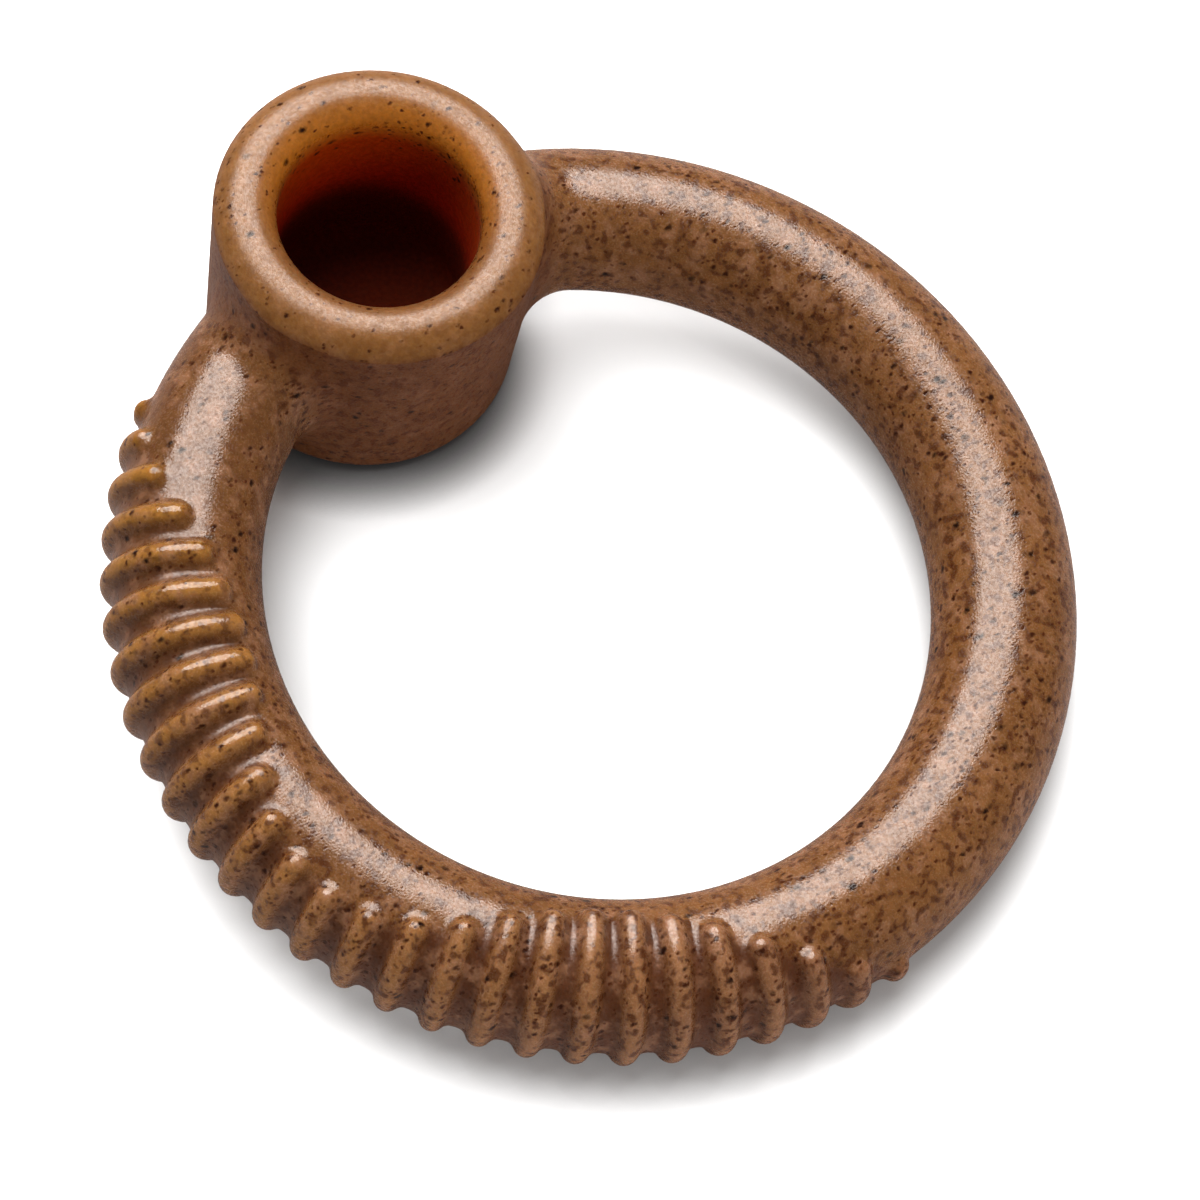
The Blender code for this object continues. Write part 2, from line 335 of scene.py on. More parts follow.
def arc(middle, radius, start, end, steps):
    """Points of a profile's rounding between two angles, the first left out."""
    angle = np.linspace(start, end, steps + 1)[1:]
    return middle[0] + radius * np.cos(angle), middle[1] + radius * np.sin(angle)


def run(start, end, steps):
    """Points of a profile's straight stretch, the first left out."""
    share = np.linspace(0, 1, steps + 1)[1:]
    return start[0] + share * (end[0] - start[0]), start[1] + share * (end[1] - start[1])


def mouth_profile():
    """Radius and level from the sharp edge over the lip, down the bore and to the middle of its floor.

    Arcs for the edge, the lip's crown, its inner side and the bore's corner, with straight stretches
    down the bore and over its floor.
    """
    radius, level, crown, high = edge_profile()
    crest = BORE_RADIUS + LIP_ROUND
    corner = (BORE_FOOT_RADIUS - BORE_FLOOR_ROUND, BORE_FLOOR + BORE_FLOOR_ROUND)
    pieces = [
        (radius, level),
        arc((crest, CUP_HEIGHT - crown), crown, high + CROWN_START, math.pi / 2, CROWN_STEPS),
        arc((crest, CUP_HEIGHT - LIP_ROUND), LIP_ROUND, math.pi / 2, math.pi, LIP_STEPS),
        run((BORE_RADIUS, CUP_HEIGHT - LIP_ROUND), (BORE_FOOT_RADIUS, corner[1]), BORE_STEPS),
        arc(corner, BORE_FLOOR_ROUND, 0, -math.pi / 2, BORE_CORNER_STEPS),
        run((corner[0], BORE_FLOOR), (0, BORE_FLOOR), BORE_FLOOR_STEPS),
    ]
    return [np.concatenate(side) for side in zip(*pieces)]


def base_profile():
    """Radius and level from the wall's foot, round an arc and straight to the middle of the flat base."""
    flat = FOOT_RADIUS - FOOT_ROUND
    pieces = [
        ([FOOT_RADIUS], [FOOT_ROUND]),
        arc((flat, FOOT_ROUND), FOOT_ROUND, 0, -math.pi / 2, FOOT_STEPS),
        run((flat, 0), (0, 0), BASE_STEPS),
    ]
    return [np.concatenate(side) for side in zip(*pieces)]


def turned_grid(profile, border, proud, picked):
    """A profile turned about the cup's axis, at the angles at which one edge of the wall is divided.

    The half with the ribs gives the angles, its mirror image the others. What stands proud at the
    edge fades within the first part of the profile.
    """
    order = np.argsort(border[picked], kind="stable")
    angle = border[picked][order]
    stand = proud[picked][order]
    angle = np.concatenate([angle, -angle[-2:0:-1]])
    stand = np.concatenate([stand, stand[-2:0:-1]])
    radius, level = profile
    along = np.concatenate([[0], np.cumsum(np.hypot(np.diff(radius), np.diff(level)))])
    fade = np.clip(1 - along / PROUD_FADE_PAST, 0, 1) ** 2
    return cup_points(angle[None, :], level[:, None], radius[:, None] + fade[:, None] * stand[None, :])


def grid_faces(rows, columns, first):
    """Quads between neighbours of a grid that closes on itself sideways."""
    row = np.arange(rows - 1)[:, None] * columns
    here = np.arange(columns)[None, :]
    there = (here + 1) % columns
    corners = [row + here, row + there, row + columns + there, row + columns + here]
    return np.stack(corners, axis=-1).reshape(-1, 4) + first


def moulding():
    """The whole skin as one closed mesh.

    One long grid runs from one half of the cup's wall through its neck, along the bar, and through
    the other neck to the other half. Two turned grids close it at the mouth and at the base.
    """
    neck = neck_grid()
    wall, (border, proud, upper, lower) = wall_grid(neck)
    near = np.concatenate([wall, neck[:0:-1]])
    far = (near * [1, -1, 1])[::-1]
    grids = [
        np.concatenate([near, bar_grid(), far]),
        turned_grid(mouth_profile(), border, proud, upper),
        turned_grid(base_profile(), border, proud, lower),
    ]
    faces = []
    count = 0
    for grid in grids:
        faces.append(grid_faces(grid.shape[0], grid.shape[1], count))
        count += grid.shape[0] * grid.shape[1]
    points = np.concatenate([grid.reshape(-1, 3) for grid in grids])
    mesh = bpy.data.meshes.new("moulding")
    mesh.from_pydata(points, [], np.concatenate(faces))
    form = bmesh.new()
    form.from_mesh(mesh)
    bmesh.ops.remove_doubles(form, verts=form.verts[:], dist=WELD)
    bmesh.ops.recalc_face_normals(form, faces=form.faces[:])
    form.to_mesh(mesh)
    form.free()
    mesh.shade_smooth()
    return mesh


def vertex_places(mesh):
    """The places of a mesh's vertices, a row for each."""
    points = np.empty(3 * len(mesh.vertices))
    mesh.vertices.foreach_get("co", points)
    return points.reshape(-1, 3)


# Where the nylon's look changes on the moulding
VALLEY_FADE = (-1 * MM, 2 * MM)  # past the tips of the ribs
ALONG_FADE = (EDGE_RADIUS, EDGE_RADIUS + 12 * MM)  # from the cup's axis, as are the next three
CUP_FADE = (EDGE_RADIUS + 0.2 * MM, EDGE_RADIUS + 4 * MM)
OUTSIDE_FADE = (BORE_RADIUS + 0.5 * MM, BORE_RADIUS + 2 * MM)
MOUTH_FADE = (BORE_RADIUS, BORE_RADIUS + LIP_ROUND)
LIP_FADE = (EDGE_LEVEL - 0.2 * MM, EDGE_LEVEL + 0.4 * MM)
BORE_TOP = CUP_HEIGHT - 2 * MM
BORE_DEPTH = 20 * MM  # at which the bore's own colour is full
# The side of the mouth and bore that takes the painted glow of light through the nylon
GLOW_SIDE = (-0.847, 0.531)  # from the cup's axis to the far side of its mouth in the photograph
GLOW_SIDE_FADE = (-0.8 * BORE_RADIUS, 0.8 * BORE_RADIUS)


def mark_places(mesh):
    """Attributes that tell the nylon where on the moulding it is, worked out from the vertices' places.

    rib is a rib's height as a share of the highest, and valley is 1 between the ribs, where shade is
    painted. along runs from the first rib to the last, and is a half on the cup. lip is 1 on the cup
    above its sharp edge, wall on its outer side below it. mouth rises from the lip's crest to the bore,
    behind from the near to the far side of the cup, where the painted glow of the mouth and bore is
    brightest, and bore with the depth inside it, which darkens the bore's painted glow to painted shade.
    """
    x, y, level = vertex_places(mesh).T
    from_axis = np.hypot(x, y)
    out = np.hypot(x - RING_RADIUS, y) - RING_RADIUS
    up = level - RING_LEVEL
    turn = np.arctan2(-y, RING_RADIUS - x) % (2 * math.pi)
    on_grip = (turn > RIB_TURNS[0] - RIB_PITCH / 2) & (turn < RIB_TURNS[-1] + RIB_PITCH / 2)
    index = np.clip((turn - RIB_TURNS[0]) / RIB_PITCH, 0, RIB_COUNT - 1)
    past = RIB_PATH_RADIUS * (np.abs(np.arctan2(up, out)) - rib_reach(index))
    rib = np.where(on_grip, np.clip((np.hypot(out, up) - BAR_RADIUS) / RIB_HEIGHT, 0, 1), 0)
    outside = smoothly(*OUTSIDE_FADE, from_axis)
    high = smoothly(*LIP_FADE, level)
    near_cup = 1 - smoothly(*CUP_FADE, from_axis)
    off_base = level > BORE_FLOOR / 2
    places = {
        "rib": rib,
        "valley": on_grip * (1 - rib) * (1 - smoothly(*VALLEY_FADE, past)),
        "along": 0.5 + (index / (RIB_COUNT - 1) - 0.5) * smoothly(*ALONG_FADE, from_axis),
        "lip": high * near_cup,
        "mouth": off_base * (1 - smoothly(*MOUTH_FADE, from_axis)),
        # behind sets where the mouth and bore take their painted glow
        "behind": smoothly(*GLOW_SIDE_FADE, GLOW_SIDE[0] * x + GLOW_SIDE[1] * y),
        "wall": near_cup * outside * (1 - high),
        "bore": off_base * (1 - outside) * np.clip((BORE_TOP - level) / BORE_DEPTH, 0, 1),
    }
    for name, values in places.items():
        mesh.attributes.new(name, "FLOAT", "POINT").data.foreach_set("value", values.astype(np.float32))


class Nodes:
    """Short words for the nodes of one material."""

    def __init__(self, name):
        self.material = bpy.data.materials.new(name)
        self.material.use_nodes = True
        self.tree = self.material.node_tree
        self.shader = self.tree.nodes["Principled BSDF"]

    def add(self, kind, **settings):
        """A new node with these settings."""
        node = self.tree.nodes.new(kind)
        for key, value in settings.items():
            setattr(node, key, value)
        return node

    def feed(self, socket, value):
        """Link an output to a socket, or set the socket to a plain value."""
        if isinstance(value, bpy.types.NodeSocket):
            self.tree.links.new(value, socket)
        elif socket.type == "RGBA":
            socket.default_value = (*value, 1)
        else:
            socket.default_value = value

    def place(self):
        """Place on the object, in its own axes."""
        return self.add("ShaderNodeTexCoord").outputs["Object"]

    def distance(self, point):
        """Distance from a point of the object's own space."""
        node = self.add("ShaderNodeVectorMath", operation="DISTANCE")
        self.feed(node.inputs[0], self.place())
        node.inputs[1].default_value = point
        return node.outputs["Value"]

    def attribute(self, name):
        """A number that the mesh holds at each vertex."""
        return self.add("ShaderNodeAttribute", attribute_name=name).outputs["Fac"]

    def noise(self, vector, size, detail, roughness, output="Fac"):
        """Cloudy noise, its largest clouds of about this size."""
        node = self.add("ShaderNodeTexNoise")
        self.feed(node.inputs["Vector"], vector)
        node.inputs["Scale"].default_value = 1 / size
        node.inputs["Detail"].default_value = detail
        node.inputs["Roughness"].default_value = roughness
        return node.outputs[output]

    def cells(self, vector, size):
        """Distance from the middle of the nearest of many cells, and that cell's random colour."""
        node = self.add("ShaderNodeTexVoronoi")
        self.feed(node.inputs["Vector"], vector)
        node.inputs["Scale"].default_value = 1 / size
        return node.outputs["Distance"], node.outputs["Color"]

    def math(self, operation, first, second):
        """One operation on two numbers."""
        node = self.add("ShaderNodeMath", operation=operation)
        for socket, value in zip(node.inputs, (first, second)):
            self.feed(socket, value)
        return node.outputs["Value"]

    def times(self, first, second):
        """The product of two numbers."""
        return self.math("MULTIPLY", first, second)

    def most(self, first, second):
        """The greater of two numbers."""
        return self.math("MAXIMUM", first, second)

    def span(self, value, low, high, to_low=0.0, to_high=1.0):
        """A smooth S from to_low, where the value is low, to to_high, where it is high."""
        node = self.add("ShaderNodeMapRange", interpolation_type="SMOOTHSTEP")
        names = ("Value", "From Min", "From Max", "To Min", "To Max")
        for name, given in zip(names, (value, low, high, to_low, to_high)):
            self.feed(node.inputs[name], given)
        return node.outputs["Result"]

    def mix(self, share, first, second, blend="MIX"):
        """The first colour with a share of the second laid over it."""
        node = self.add("ShaderNodeMix", data_type="RGBA", blend_type=blend)
        for name, given in (("Factor_Float", share), ("A_Color", first), ("B_Color", second)):
            self.feed(next(s for s in node.inputs if s.identifier == name), given)
        return next(s for s in node.outputs if s.identifier == "Result_Color")


# The nylon's noises: size, detail and roughness of each
CLOUD_NOISE = (11 * MM, 4, 0.6)
PATCH_NOISE = (3.2 * MM, 3, 0.6)
SMUDGE_NOISE = (1.4 * MM, 2.5, 0.55)
GRAIN_NOISE = (0.7 * MM, 2, 0.6)
WARP_NOISE = (0.6 * MM, 1, 0.5)
CROWD_NOISE = (10 * MM, 2, 0.5)
ROUGH_NOISE = (0.35 * MM, 1, 0.5)
SPARKLE_NOISE = (0.45 * MM, 1.5, 0.6)
RELIEF_NOISE = (0.3 * MM, 0.5, 0.5)

# The nylon's colours; pairs run along the grip, from the near to the far side of the cup, or dark to pale
CLOUD_COLOURS = ((0.215, 0.085, 0.025), (0.285, 0.118, 0.038))
# Painted shade: a near-black laid thinly over the bar by the cup's neck and first ribs, where the cup
# shades it
NECK_PAINTED_SHADE = (0.035, 0.008, 0.002)  # on the bar by the first ribs
# The ribs' paler nylon: partly their own tone, partly a painted glow of light through the thin ribs, most
# golden at the first ribs
RIB_TONE_AND_GLOW = ((0.56, 0.245, 0.034), (0.40, 0.190, 0.105))
# Darker between the ribs: painted shade of the hollows, partly darker nylon and dirt gathered there
VALLEY_TONE_AND_SHADE = (0.095, 0.026, 0.010)
PATCH_COLOUR = (0.38, 0.178, 0.091)
SMUDGE_COLOUR = (0.100, 0.029, 0.008)
LIP_COLOUR = (0.35, 0.143, 0.032)
WALL_COLOUR = (0.145, 0.036, 0.010)
# Painted light on the mouth: darker on its near side, a painted orange glow of light through the nylon on
# its far side
MOUTH_SHADE_AND_GLOW = ((0.16, 0.055, 0.014), (0.68, 0.215, 0.015))
# Painted light in the bore: a red glow of light through the nylon, brightest on its far side, darkening
# with depth to painted shade on its floor
BORE_TOP_GLOW_AND_SHADE = ((0.18, 0.020, 0.002), (0.42, 0.040, 0.002))
BORE_WALL_GLOW_AND_SHADE = ((0.15, 0.012, 0.002), (0.50, 0.030, 0.003))
BORE_FLOOR_SHADE = (0.13, 0.015, 0.003)
GRAIN_TINTS = ((0.62, 0.56, 0.48), (1.36, 1.40, 1.45))

# How much of each colour is laid on: a share, or a span from one value to another and the share at each
CLOUD_SPAN = (0.3, 0.7)
NECK_PAINTED_SHADE_ALONG = (0.15, 0.6, 0.26, 0)
RIB_SHARE = 0.7
VALLEY_SHADE_ALONG = (0, 0.6, 0.3, 0.85)
PATCH_SPAN = (0.45, 0.7)
PATCH_SHARE = 0.7
SMUDGE_SPAN = (0.5, 0.64)
SMUDGE_ALONG = (0, 0.5, 0.5, 0.88)
LIP_SHARE = 0.55
WALL_SHARE = 0.5
MOUTH_SHARE = 0.8
BORE_TOP_SPAN = (0, 0.25)
BORE_WALL_SPAN = (0.25, 0.75)
BORE_FLOOR_SPAN = (0.65, 1.0)
GRAIN_SPAN = (0.28, 0.72)
GRAIN_SHARE = 0.4


def nylon_colour(n, place, at):
    """Browns that cloud into each other, with a colour laid over each part of the moulding.

    Some are the nylon's own tones. Painted shade darkens the bar by the cup's neck, the valleys and the
    deep bore, and a painted glow lights the ribs, the mouth and the bore.
    """
    along = at["along"]
    behind = at["behind"]
    bore = at["bore"]
    patches = n.span(n.noise(place, *PATCH_NOISE), *PATCH_SPAN)
    smudges = n.span(n.noise(place, *SMUDGE_NOISE), *SMUDGE_SPAN)
    layers = (
        # painted shade of the cup over the bar by its neck and first ribs
        (n.span(along, *NECK_PAINTED_SHADE_ALONG), NECK_PAINTED_SHADE),
        # the ribs' own paler tone with a painted glow of light through them
        (n.times(at["rib"], RIB_SHARE), n.mix(along, *RIB_TONE_AND_GLOW)),
        # painted shade in the valleys, partly darker nylon and dirt there
        (n.times(at["valley"], n.span(along, *VALLEY_SHADE_ALONG)), VALLEY_TONE_AND_SHADE),
        (n.times(patches, PATCH_SHARE), PATCH_COLOUR),
        (n.times(smudges, n.span(along, *SMUDGE_ALONG)), SMUDGE_COLOUR),
        (n.times(at["lip"], LIP_SHARE), LIP_COLOUR),
        (n.times(at["wall"], WALL_SHARE), WALL_COLOUR),
        # painted shade on the mouth's near side, painted glow on its far side
        (n.times(at["mouth"], MOUTH_SHARE), n.mix(behind, *MOUTH_SHADE_AND_GLOW)),
        # painted red glow in the bore, darkening with depth to painted shade at its floor
        (n.span(bore, *BORE_TOP_SPAN), n.mix(behind, *BORE_TOP_GLOW_AND_SHADE)),
        (n.span(bore, *BORE_WALL_SPAN), n.mix(behind, *BORE_WALL_GLOW_AND_SHADE)),
        (n.span(bore, *BORE_FLOOR_SPAN), BORE_FLOOR_SHADE),
    )
    colour = n.mix(n.span(n.noise(place, *CLOUD_NOISE), *CLOUD_SPAN), *CLOUD_COLOURS)
    for share, tint in layers:
        colour = n.mix(share, colour, tint)
    grain = n.span(n.noise(place, *GRAIN_NOISE), *GRAIN_SPAN)
    return n.mix(GRAIN_SHARE, colour, n.mix(grain, *GRAIN_TINTS), "MULTIPLY")


# Flecks: cell size, radius in cells, share of cells that hold one, tint, and how the cells are turned
FLECKS = (
    (0.8 * MM, 0.42, 0.55, (0.085, 0.021, 0.006), (0.3, 0.9, 0.2)),
    (1.3 * MM, 0.38, 0.40, (0.042, 0.009, 0.003), (1.2, 0.4, 2.1)),
    (2.2 * MM, 0.30, 0.30, (0.016, 0.004, 0.002), (0.7, 2.0, 0.5)),
)
FLECK_STRETCH = (1.0, 0.65, 1.0)
FLECK_CORE = 0.25  # of a fleck's radius, inside which it has its full tint
FLECK_DEPTHS = (0, 0.7, 0.35, 1)  # from a cell's random number to how strong its fleck is
WARP_REACH = 0.55 * MM

# How crowded the flecks are: a span from one value to another, and the crowding at each
CROWD_SPAN = (0.35, 0.65, 0.4, 1.5)
CROWD_ON_CUP = (0, 1, 1, 0.45)
CROWD_ALONG = (0, 0.6, 0.8, 1.35)
CROWD_IN_BORE = (0.1, 0.4, 1, 0)


def scattered(n, place, crowd, size, radius, share, turn):
    """Long irregular flecks: the middles of warped, stretched cells, where the cell draws one."""
    turned = n.add("ShaderNodeMapping")
    n.feed(turned.inputs["Vector"], place)
    turned.inputs["Rotation"].default_value = turn
    turned.inputs["Scale"].default_value = FLECK_STRETCH
    distance, random = n.cells(turned.outputs["Vector"], size)
    split = n.add("ShaderNodeSeparateColor")
    n.feed(split.inputs["Color"], random)
    least = n.math("SUBTRACT", 1, n.times(crowd, share))
    drawn = n.math("GREATER_THAN", split.outputs["Red"], least)
    depth = n.span(split.outputs["Green"], *FLECK_DEPTHS)
    return n.times(n.times(drawn, depth), n.span(distance, radius, FLECK_CORE * radius))


def flecked(n, place, at, colour):
    """The colour with dark flecks strewn over it, and how deep a fleck lies at each place.

    Noise pushes the places about, which makes the flecks ragged, and a wider noise crowds them. They
    are fewer on the cup and none deep in its bore, and more crowded towards the last rib.
    """
    warp = n.add("ShaderNodeVectorMath", operation="MULTIPLY_ADD")
    n.feed(warp.inputs[0], n.noise(place, *WARP_NOISE, output="Color"))
    warp.inputs[1].default_value = (WARP_REACH,) * 3
    n.feed(warp.inputs[2], place)
    crowd = n.span(n.noise(place, *CROWD_NOISE), *CROWD_SPAN)
    crowd = n.times(crowd, n.span(n.most(at["lip"], at["wall"]), *CROWD_ON_CUP))
    crowd = n.times(crowd, n.span(at["along"], *CROWD_ALONG))
    crowd = n.times(crowd, n.span(at["bore"], *CROWD_IN_BORE))
    pits = 0.0
    for size, radius, share, tint, turn in FLECKS:
        fleck = scattered(n, warp.outputs["Vector"], crowd, size, radius, share, turn)
        colour = n.mix(fleck, colour, tint)
        pits = n.most(pits, fleck)
    return colour, pits


# The nylon's gloss: its roughness, and what each part of the moulding adds to it
ROUGH_SPAN = (0.48, 0.68, 0.19, 0.38)
PIT_ROUGH = -0.12
WALL_ROUGH = 0.3
BORE_ROUGH = (0, 0.3, 0, 2)  # with the bore's depth, as a multiple of the wall's
RIB_ROUGH = (0, 0.6, -0.12, 0.02)  # along the grip
VALLEY_ROUGH = 0.12  # in valleys and on the lip
SPARKLE_SPAN = (0.3, 0.7, 0.34, 0.66)  # strength of its reflections
PIT_DULL = 0.42  # share of that strength that is lost, as in the next two
LIP_DULL = 0.15
BORE_DULL = (0, 0.3, 0, 0.9)
NYLON_IOR = 1.45
REFLECTION_TINT = (1.0, 0.935, 0.88)
SCATTER_WEIGHT = 0.25
SCATTER_SHARES = (1.0, 0.4, 0.15)  # of red, green and blue
SCATTER_REACH = 2.0 * MM


def nylon_gloss(n, place, at, pits):
    """Satin gloss: roughness as a sum over the places, and reflections that sparkle and dull in spots."""
    bore = at["bore"]
    rough = n.span(n.noise(place, *ROUGH_NOISE), *ROUGH_SPAN)
    added = (
        n.times(pits, PIT_ROUGH),
        n.times(n.most(at["wall"], n.span(bore, *BORE_ROUGH)), WALL_ROUGH),
        n.times(at["rib"], n.span(at["along"], *RIB_ROUGH)),
        n.times(n.most(at["valley"], at["lip"]), VALLEY_ROUGH),
    )
    for amount in added:
        rough = n.math("ADD", rough, amount)
    n.feed(n.shader.inputs["Roughness"], rough)
    sparkle = n.span(n.noise(place, *SPARKLE_NOISE), *SPARKLE_SPAN)
    dull = n.most(n.times(pits, PIT_DULL), n.times(at["lip"], LIP_DULL))
    dull = n.most(dull, n.span(bore, *BORE_DULL))
    n.feed(n.shader.inputs["Specular IOR Level"], n.times(sparkle, n.math("SUBTRACT", 1, dull)))
    n.feed(n.shader.inputs["Specular Tint"], REFLECTION_TINT)
    n.feed(n.shader.inputs["IOR"], NYLON_IOR)
    n.feed(n.shader.inputs["Subsurface Weight"], SCATTER_WEIGHT)
    n.feed(n.shader.inputs["Subsurface Radius"], SCATTER_SHARES)
    n.feed(n.shader.inputs["Subsurface Scale"], SCATTER_REACH)


# The nylon's fine relief
RELIEF_HEIGHT = 0.052 * MM
RELIEF_STRENGTH = 0.6
PIT_SINK = 0.36  # of the relief's height
RELIEF_ON_LIP = (0, 1, 1, 0.4)


def nylon_relief(n, place, at, pits):
    """Orange-peel noise with the flecks sunk into it, smoother on the lip, as a bump."""
    uneven = n.math("SUBTRACT", n.noise(place, *RELIEF_NOISE), n.times(pits, PIT_SINK))
    bump = n.add("ShaderNodeBump")
    n.feed(bump.inputs["Strength"], RELIEF_STRENGTH)
    n.feed(bump.inputs["Distance"], RELIEF_HEIGHT)
    n.feed(bump.inputs["Height"], n.times(uneven, n.span(at["lip"], *RELIEF_ON_LIP)))
    n.feed(n.shader.inputs["Normal"], bump.outputs["Normal"])


def mottled_nylon():
    """Satin moulded nylon: clouded browns, dark flecks strewn through them, and a fine uneven gloss."""
    n = Nodes("mottled_nylon")
    place = n.place()
    names = ("rib", "valley", "along", "lip", "mouth", "behind", "wall", "bore")
    at = {name: n.attribute(name) for name in names}
    colour, pits = flecked(n, place, at, nylon_colour(n, place, at))
    n.feed(n.shader.inputs["Base Color"], colour)
    nylon_gloss(n, place, at, pits)
    nylon_relief(n, place, at, pits)
    return n.material


# The camera of the photograph, measured about the ring's centre
CAMERA_TURN = math.radians(37.06)
CAMERA_RISE = math.radians(65.06)
CAMERA_ROLL = math.radians(19.29)
CAMERA_DISTANCE = 528.5 * MM
CAMERA_AIM = (0.693 * MM, -2.574 * MM)
CAMERA_CLIP = 10 * MM
FOCAL_PIXELS = 3886.65  # the camera's focal length, in pixels of the photograph
PHOTO_PIXELS = 1200  # the photograph's width
SENSOR = 36.0  # in millimetres, as Blender counts lenses


def photo_camera():
    """Camera on a sphere about the ring's centre, turned about its own line of sight by the roll."""
    spin = Matrix.Rotation(CAMERA_TURN, 3, "Z")
    back = Vector((0, -math.cos(CAMERA_RISE), math.sin(CAMERA_RISE)))
    eye = RING_CENTRE + spin @ back * CAMERA_DISTANCE
    aim = RING_CENTRE + spin @ Vector((*CAMERA_AIM, 0))
    ahead = (aim - eye).normalized()
    right = ahead.cross(Vector((0, 0, 1))).normalized()
    up = right.cross(ahead)
    roll = Matrix.Rotation(-CAMERA_ROLL, 3, ahead)
    turned = Matrix((roll @ right, roll @ up, -ahead)).transposed()
    camera = bpy.data.cameras.new("photo_camera")
    camera.sensor_width = SENSOR
    camera.lens = SENSOR * FOCAL_PIXELS / PHOTO_PIXELS
    camera.clip_start = CAMERA_CLIP
    obj = bpy.data.objects.new("photo_camera", camera)
    obj.matrix_world = Matrix.Translation(eye) @ turned.to_4x4()
    bpy.context.scene.collection.objects.link(obj)
    bpy.context.scene.camera = obj
    return obj


# The floor the ring rests on: it leans until the far ribs touch as well as the cup's edge
LEAN = math.radians(5.19)
LEAN_TURN = math.radians(18.75)
FLOOR_REACH = 4.0
FLOOR_PALENESS = 0.34  # in the light that it sends back
FLOOR_MIRRORED = (0.27, 0.213, 0.197)  # in reflections
# Painted shadow: the floor darker in reflections inside the ring, where the ring shades it
FLOOR_SHADOWED_IN_RING = (0.19, 0.148, 0.137)  # in reflections, inside the ring
FLOOR_INSIDE_SPAN = (38 * MM, 58 * MM)  # from the ring's centre
FLOOR_SHOWN = 1.0  # in the picture
# Painted contact shadow on the floor, seen by the camera alone, darkest before the cup's foot
CONTACT_REACH = 8.5 * MM  # how near the moulding darkens the floor
CONTACT_SAMPLES = 16
PAINTED_SHADOW_MIDDLE = (12 * MM, -7.5 * MM, 0)  # before the cup's foot, where the floor is darkest
CONTACT_SPAN = (12 * MM, 32 * MM)  # from there
CONTACT_DEPTHS = (3.2, 0.6)  # there, and far from there
CONTACT_LEAST = 0.05


def pale_floor():
    """Matte white to the camera, darker near the moulding, and plainer in the light that it sends back.

    The share of open space over a place, raised to a power that is greatest before the cup's foot,
    gives how pale the place shows: a painted contact shadow. In reflections the floor is darker inside
    the ring, a painted shadow of the ring.
    """
    n = Nodes("pale_floor")
    n.tree.nodes.remove(n.shader)
    path = n.add("ShaderNodeLightPath").outputs
    mirrored = n.most(path["Is Glossy Ray"], path["Is Transmission Ray"])
    # painted shadow of the ring on the floor, in reflections
    inside = n.span(n.distance((RING_RADIUS, 0, 0)), *FLOOR_INSIDE_SPAN)
    colour = n.mix(mirrored, (FLOOR_PALENESS,) * 3, n.mix(inside, FLOOR_SHADOWED_IN_RING, FLOOR_MIRRORED))
    # painted contact shadow from the open space over each place, deepest before the cup's foot
    nearby = n.add("ShaderNodeAmbientOcclusion", samples=CONTACT_SAMPLES)
    n.feed(nearby.inputs["Distance"], CONTACT_REACH)
    depth = n.span(n.distance(PAINTED_SHADOW_MIDDLE), *CONTACT_SPAN, *CONTACT_DEPTHS)
    painted_shadow = n.math("POWER", nearby.outputs["AO"], depth)
    shown = n.mix(painted_shadow, (CONTACT_LEAST,) * 3, (FLOOR_SHOWN,) * 3)
    matte = n.add("ShaderNodeBsdfDiffuse")
    n.feed(matte.inputs["Color"], n.mix(path["Is Camera Ray"], colour, shown))
    n.feed(n.tree.nodes["Material Output"].inputs["Surface"], matte.outputs["BSDF"])
    return n.material


def studio_floor(mesh):
    """A flat sheet square to the leaning upright, as high as the moulding's lowest point along it."""
    across = Vector((math.cos(LEAN_TURN), math.sin(LEAN_TURN), 0))
    upright = Vector((0, 0, math.cos(LEAN))) - math.sin(LEAN) * across
    middle = upright * (vertex_places(mesh) @ np.array(upright)).min()
    along = FLOOR_REACH * upright.cross(Vector((0, 1, 0))).normalized()
    aside = upright.cross(along)
    corners = [
        middle - along - aside,
        middle + along - aside,
        middle + along + aside,
        middle - along + aside,
    ]
    sheet = bpy.data.meshes.new("studio_floor")
    sheet.from_pydata(corners, [], [(0, 1, 2, 3)])
    sheet.materials.append(pale_floor())
    obj = bpy.data.objects.new("studio_floor", sheet)
    bpy.context.scene.collection.objects.link(obj)
    return obj


# The lamps: name, watts, azimuth and rise from the ring's centre, turn (degrees), size and distance
SOFTBOX = ("softbox", 49, 166, 49.5, 0, (2.0, 2.0), 1.8)
SOFTBOX_SHINE = ("softbox_shine", 6.8, 161, 52, 18, (0.585, 0.46), 0.45)
SIDE_CARD = ("side_card", 9.6, 2, 20, 0, (1.2, 1.2), 1.5)
FLOOR_LIGHTS = (
    ("floor_back", 31, 150, 30, 0, (1.6, 0.7), 1.5),
    ("floor_top", 34, 195, 70, 0, (1.2, 1.2), 1.5),
    ("floor_front", 10, 315, 40, 0, (1.0, 1.0), 1.5),
)
ROOM_LIGHT = 0.1
ROOM_COLOUR = (1, 1, 1, 1)


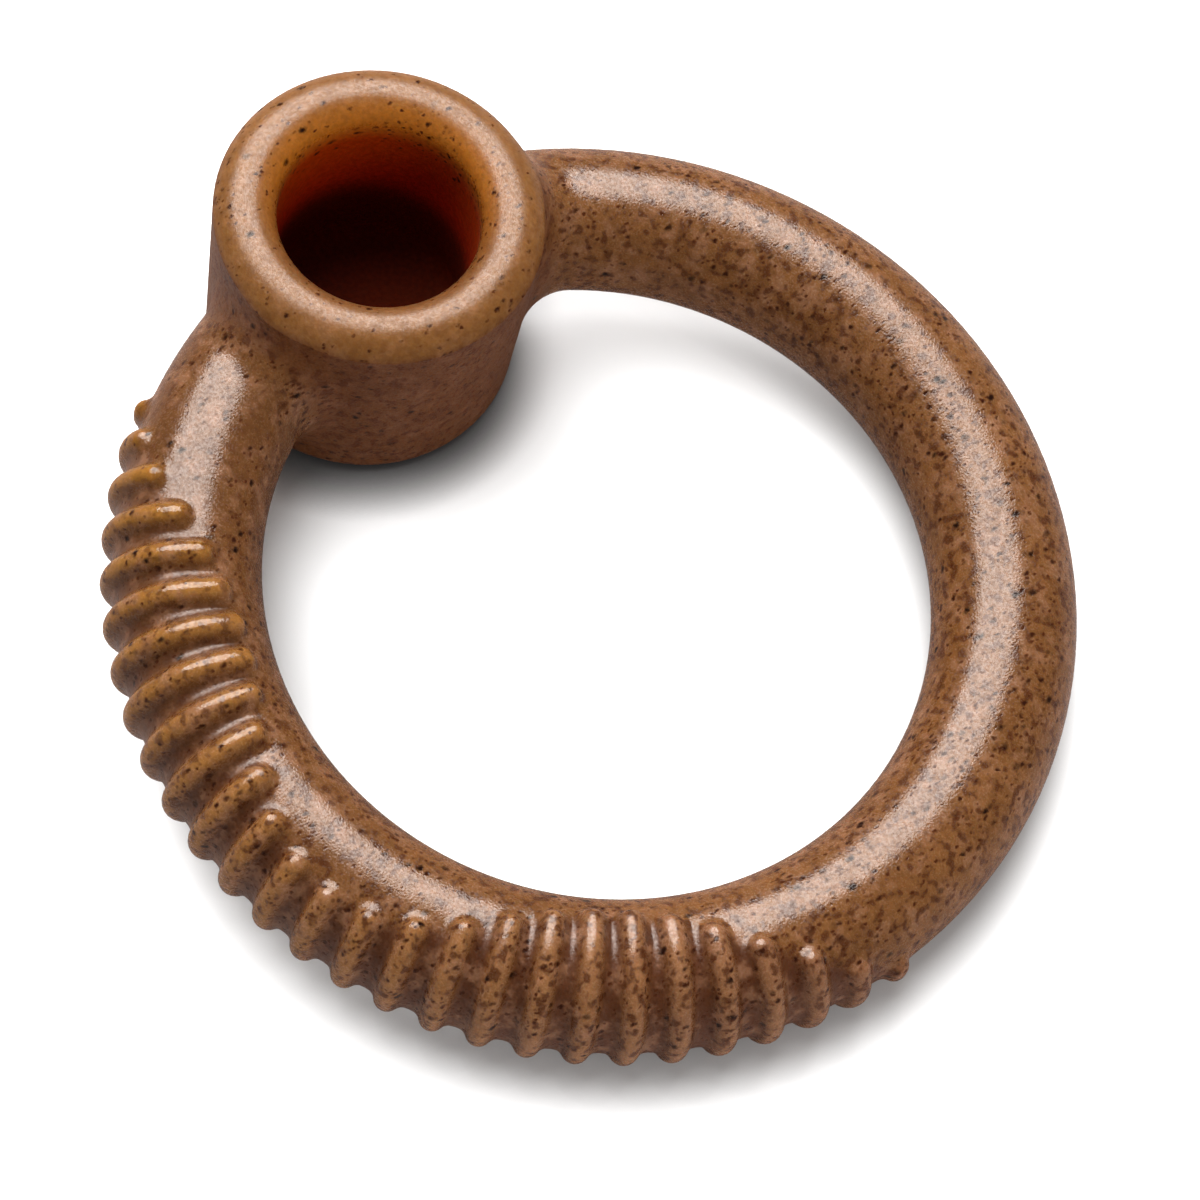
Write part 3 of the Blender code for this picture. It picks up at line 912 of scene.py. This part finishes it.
def lamp(camera, name, power, azimuth, rise, turn, size, distance):
    """An even ellipse of light that faces the ring's centre, turned from the picture's level."""
    light = bpy.data.lights.new(name, "AREA")
    light.shape = "ELLIPSE"
    light.size, light.size_y = size
    light.energy = power
    level = Vector((math.cos(math.radians(azimuth)), math.sin(math.radians(azimuth)), 0))
    out = level * math.cos(math.radians(rise)) + Vector((0, 0, math.sin(math.radians(rise))))
    right = camera.matrix_world.to_3x3().col[0]
    straight = (right - out * right.dot(out)).normalized()
    across = Matrix.Rotation(math.radians(turn), 3, out) @ straight
    turned = Matrix((across, out.cross(across), out)).transposed().to_4x4()
    obj = bpy.data.objects.new(name, light)
    obj.matrix_world = Matrix.Translation(RING_CENTRE + out * distance) @ turned
    bpy.context.scene.collection.objects.link(obj)
    return obj


def soft_light(camera, ring, floor):
    """A dim room, a softbox behind the cup and a side card for the ring, and lamps for the floor alone.

    The softbox and the card don't show in reflections. The shine, a smaller lamp near the softbox's
    line, shows in them alone.
    """
    world = bpy.data.worlds.new("dim_room")
    bpy.context.scene.world = world
    world.use_nodes = True
    background = world.node_tree.nodes["Background"]
    background.inputs["Color"].default_value = ROOM_COLOUR
    background.inputs["Strength"].default_value = ROOM_LIGHT
    softbox = lamp(camera, *SOFTBOX)
    softbox.visible_glossy = False
    shine = lamp(camera, *SOFTBOX_SHINE)
    shine.visible_diffuse = False
    card = lamp(camera, *SIDE_CARD)
    card.visible_glossy = False
    over_floor = [lamp(camera, *values) for values in FLOOR_LIGHTS]
    for lit, lights in ((ring, (softbox, shine, card)), (floor, over_floor)):
        alone = bpy.data.collections.new(lit.name + "_alone")
        alone.objects.link(lit)
        for light in lights:
            light.light_linking.receiver_collection = alone


bpy.context.scene.view_settings.view_transform = "Standard"
camera = photo_camera()
skin = moulding()
mark_places(skin)
skin.materials.append(mottled_nylon())
ring = bpy.data.objects.new("chew_ring_moulding", skin)
bpy.context.scene.collection.objects.link(ring)
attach(ring, "root")
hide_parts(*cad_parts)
soft_light(camera, ring, studio_floor(skin))
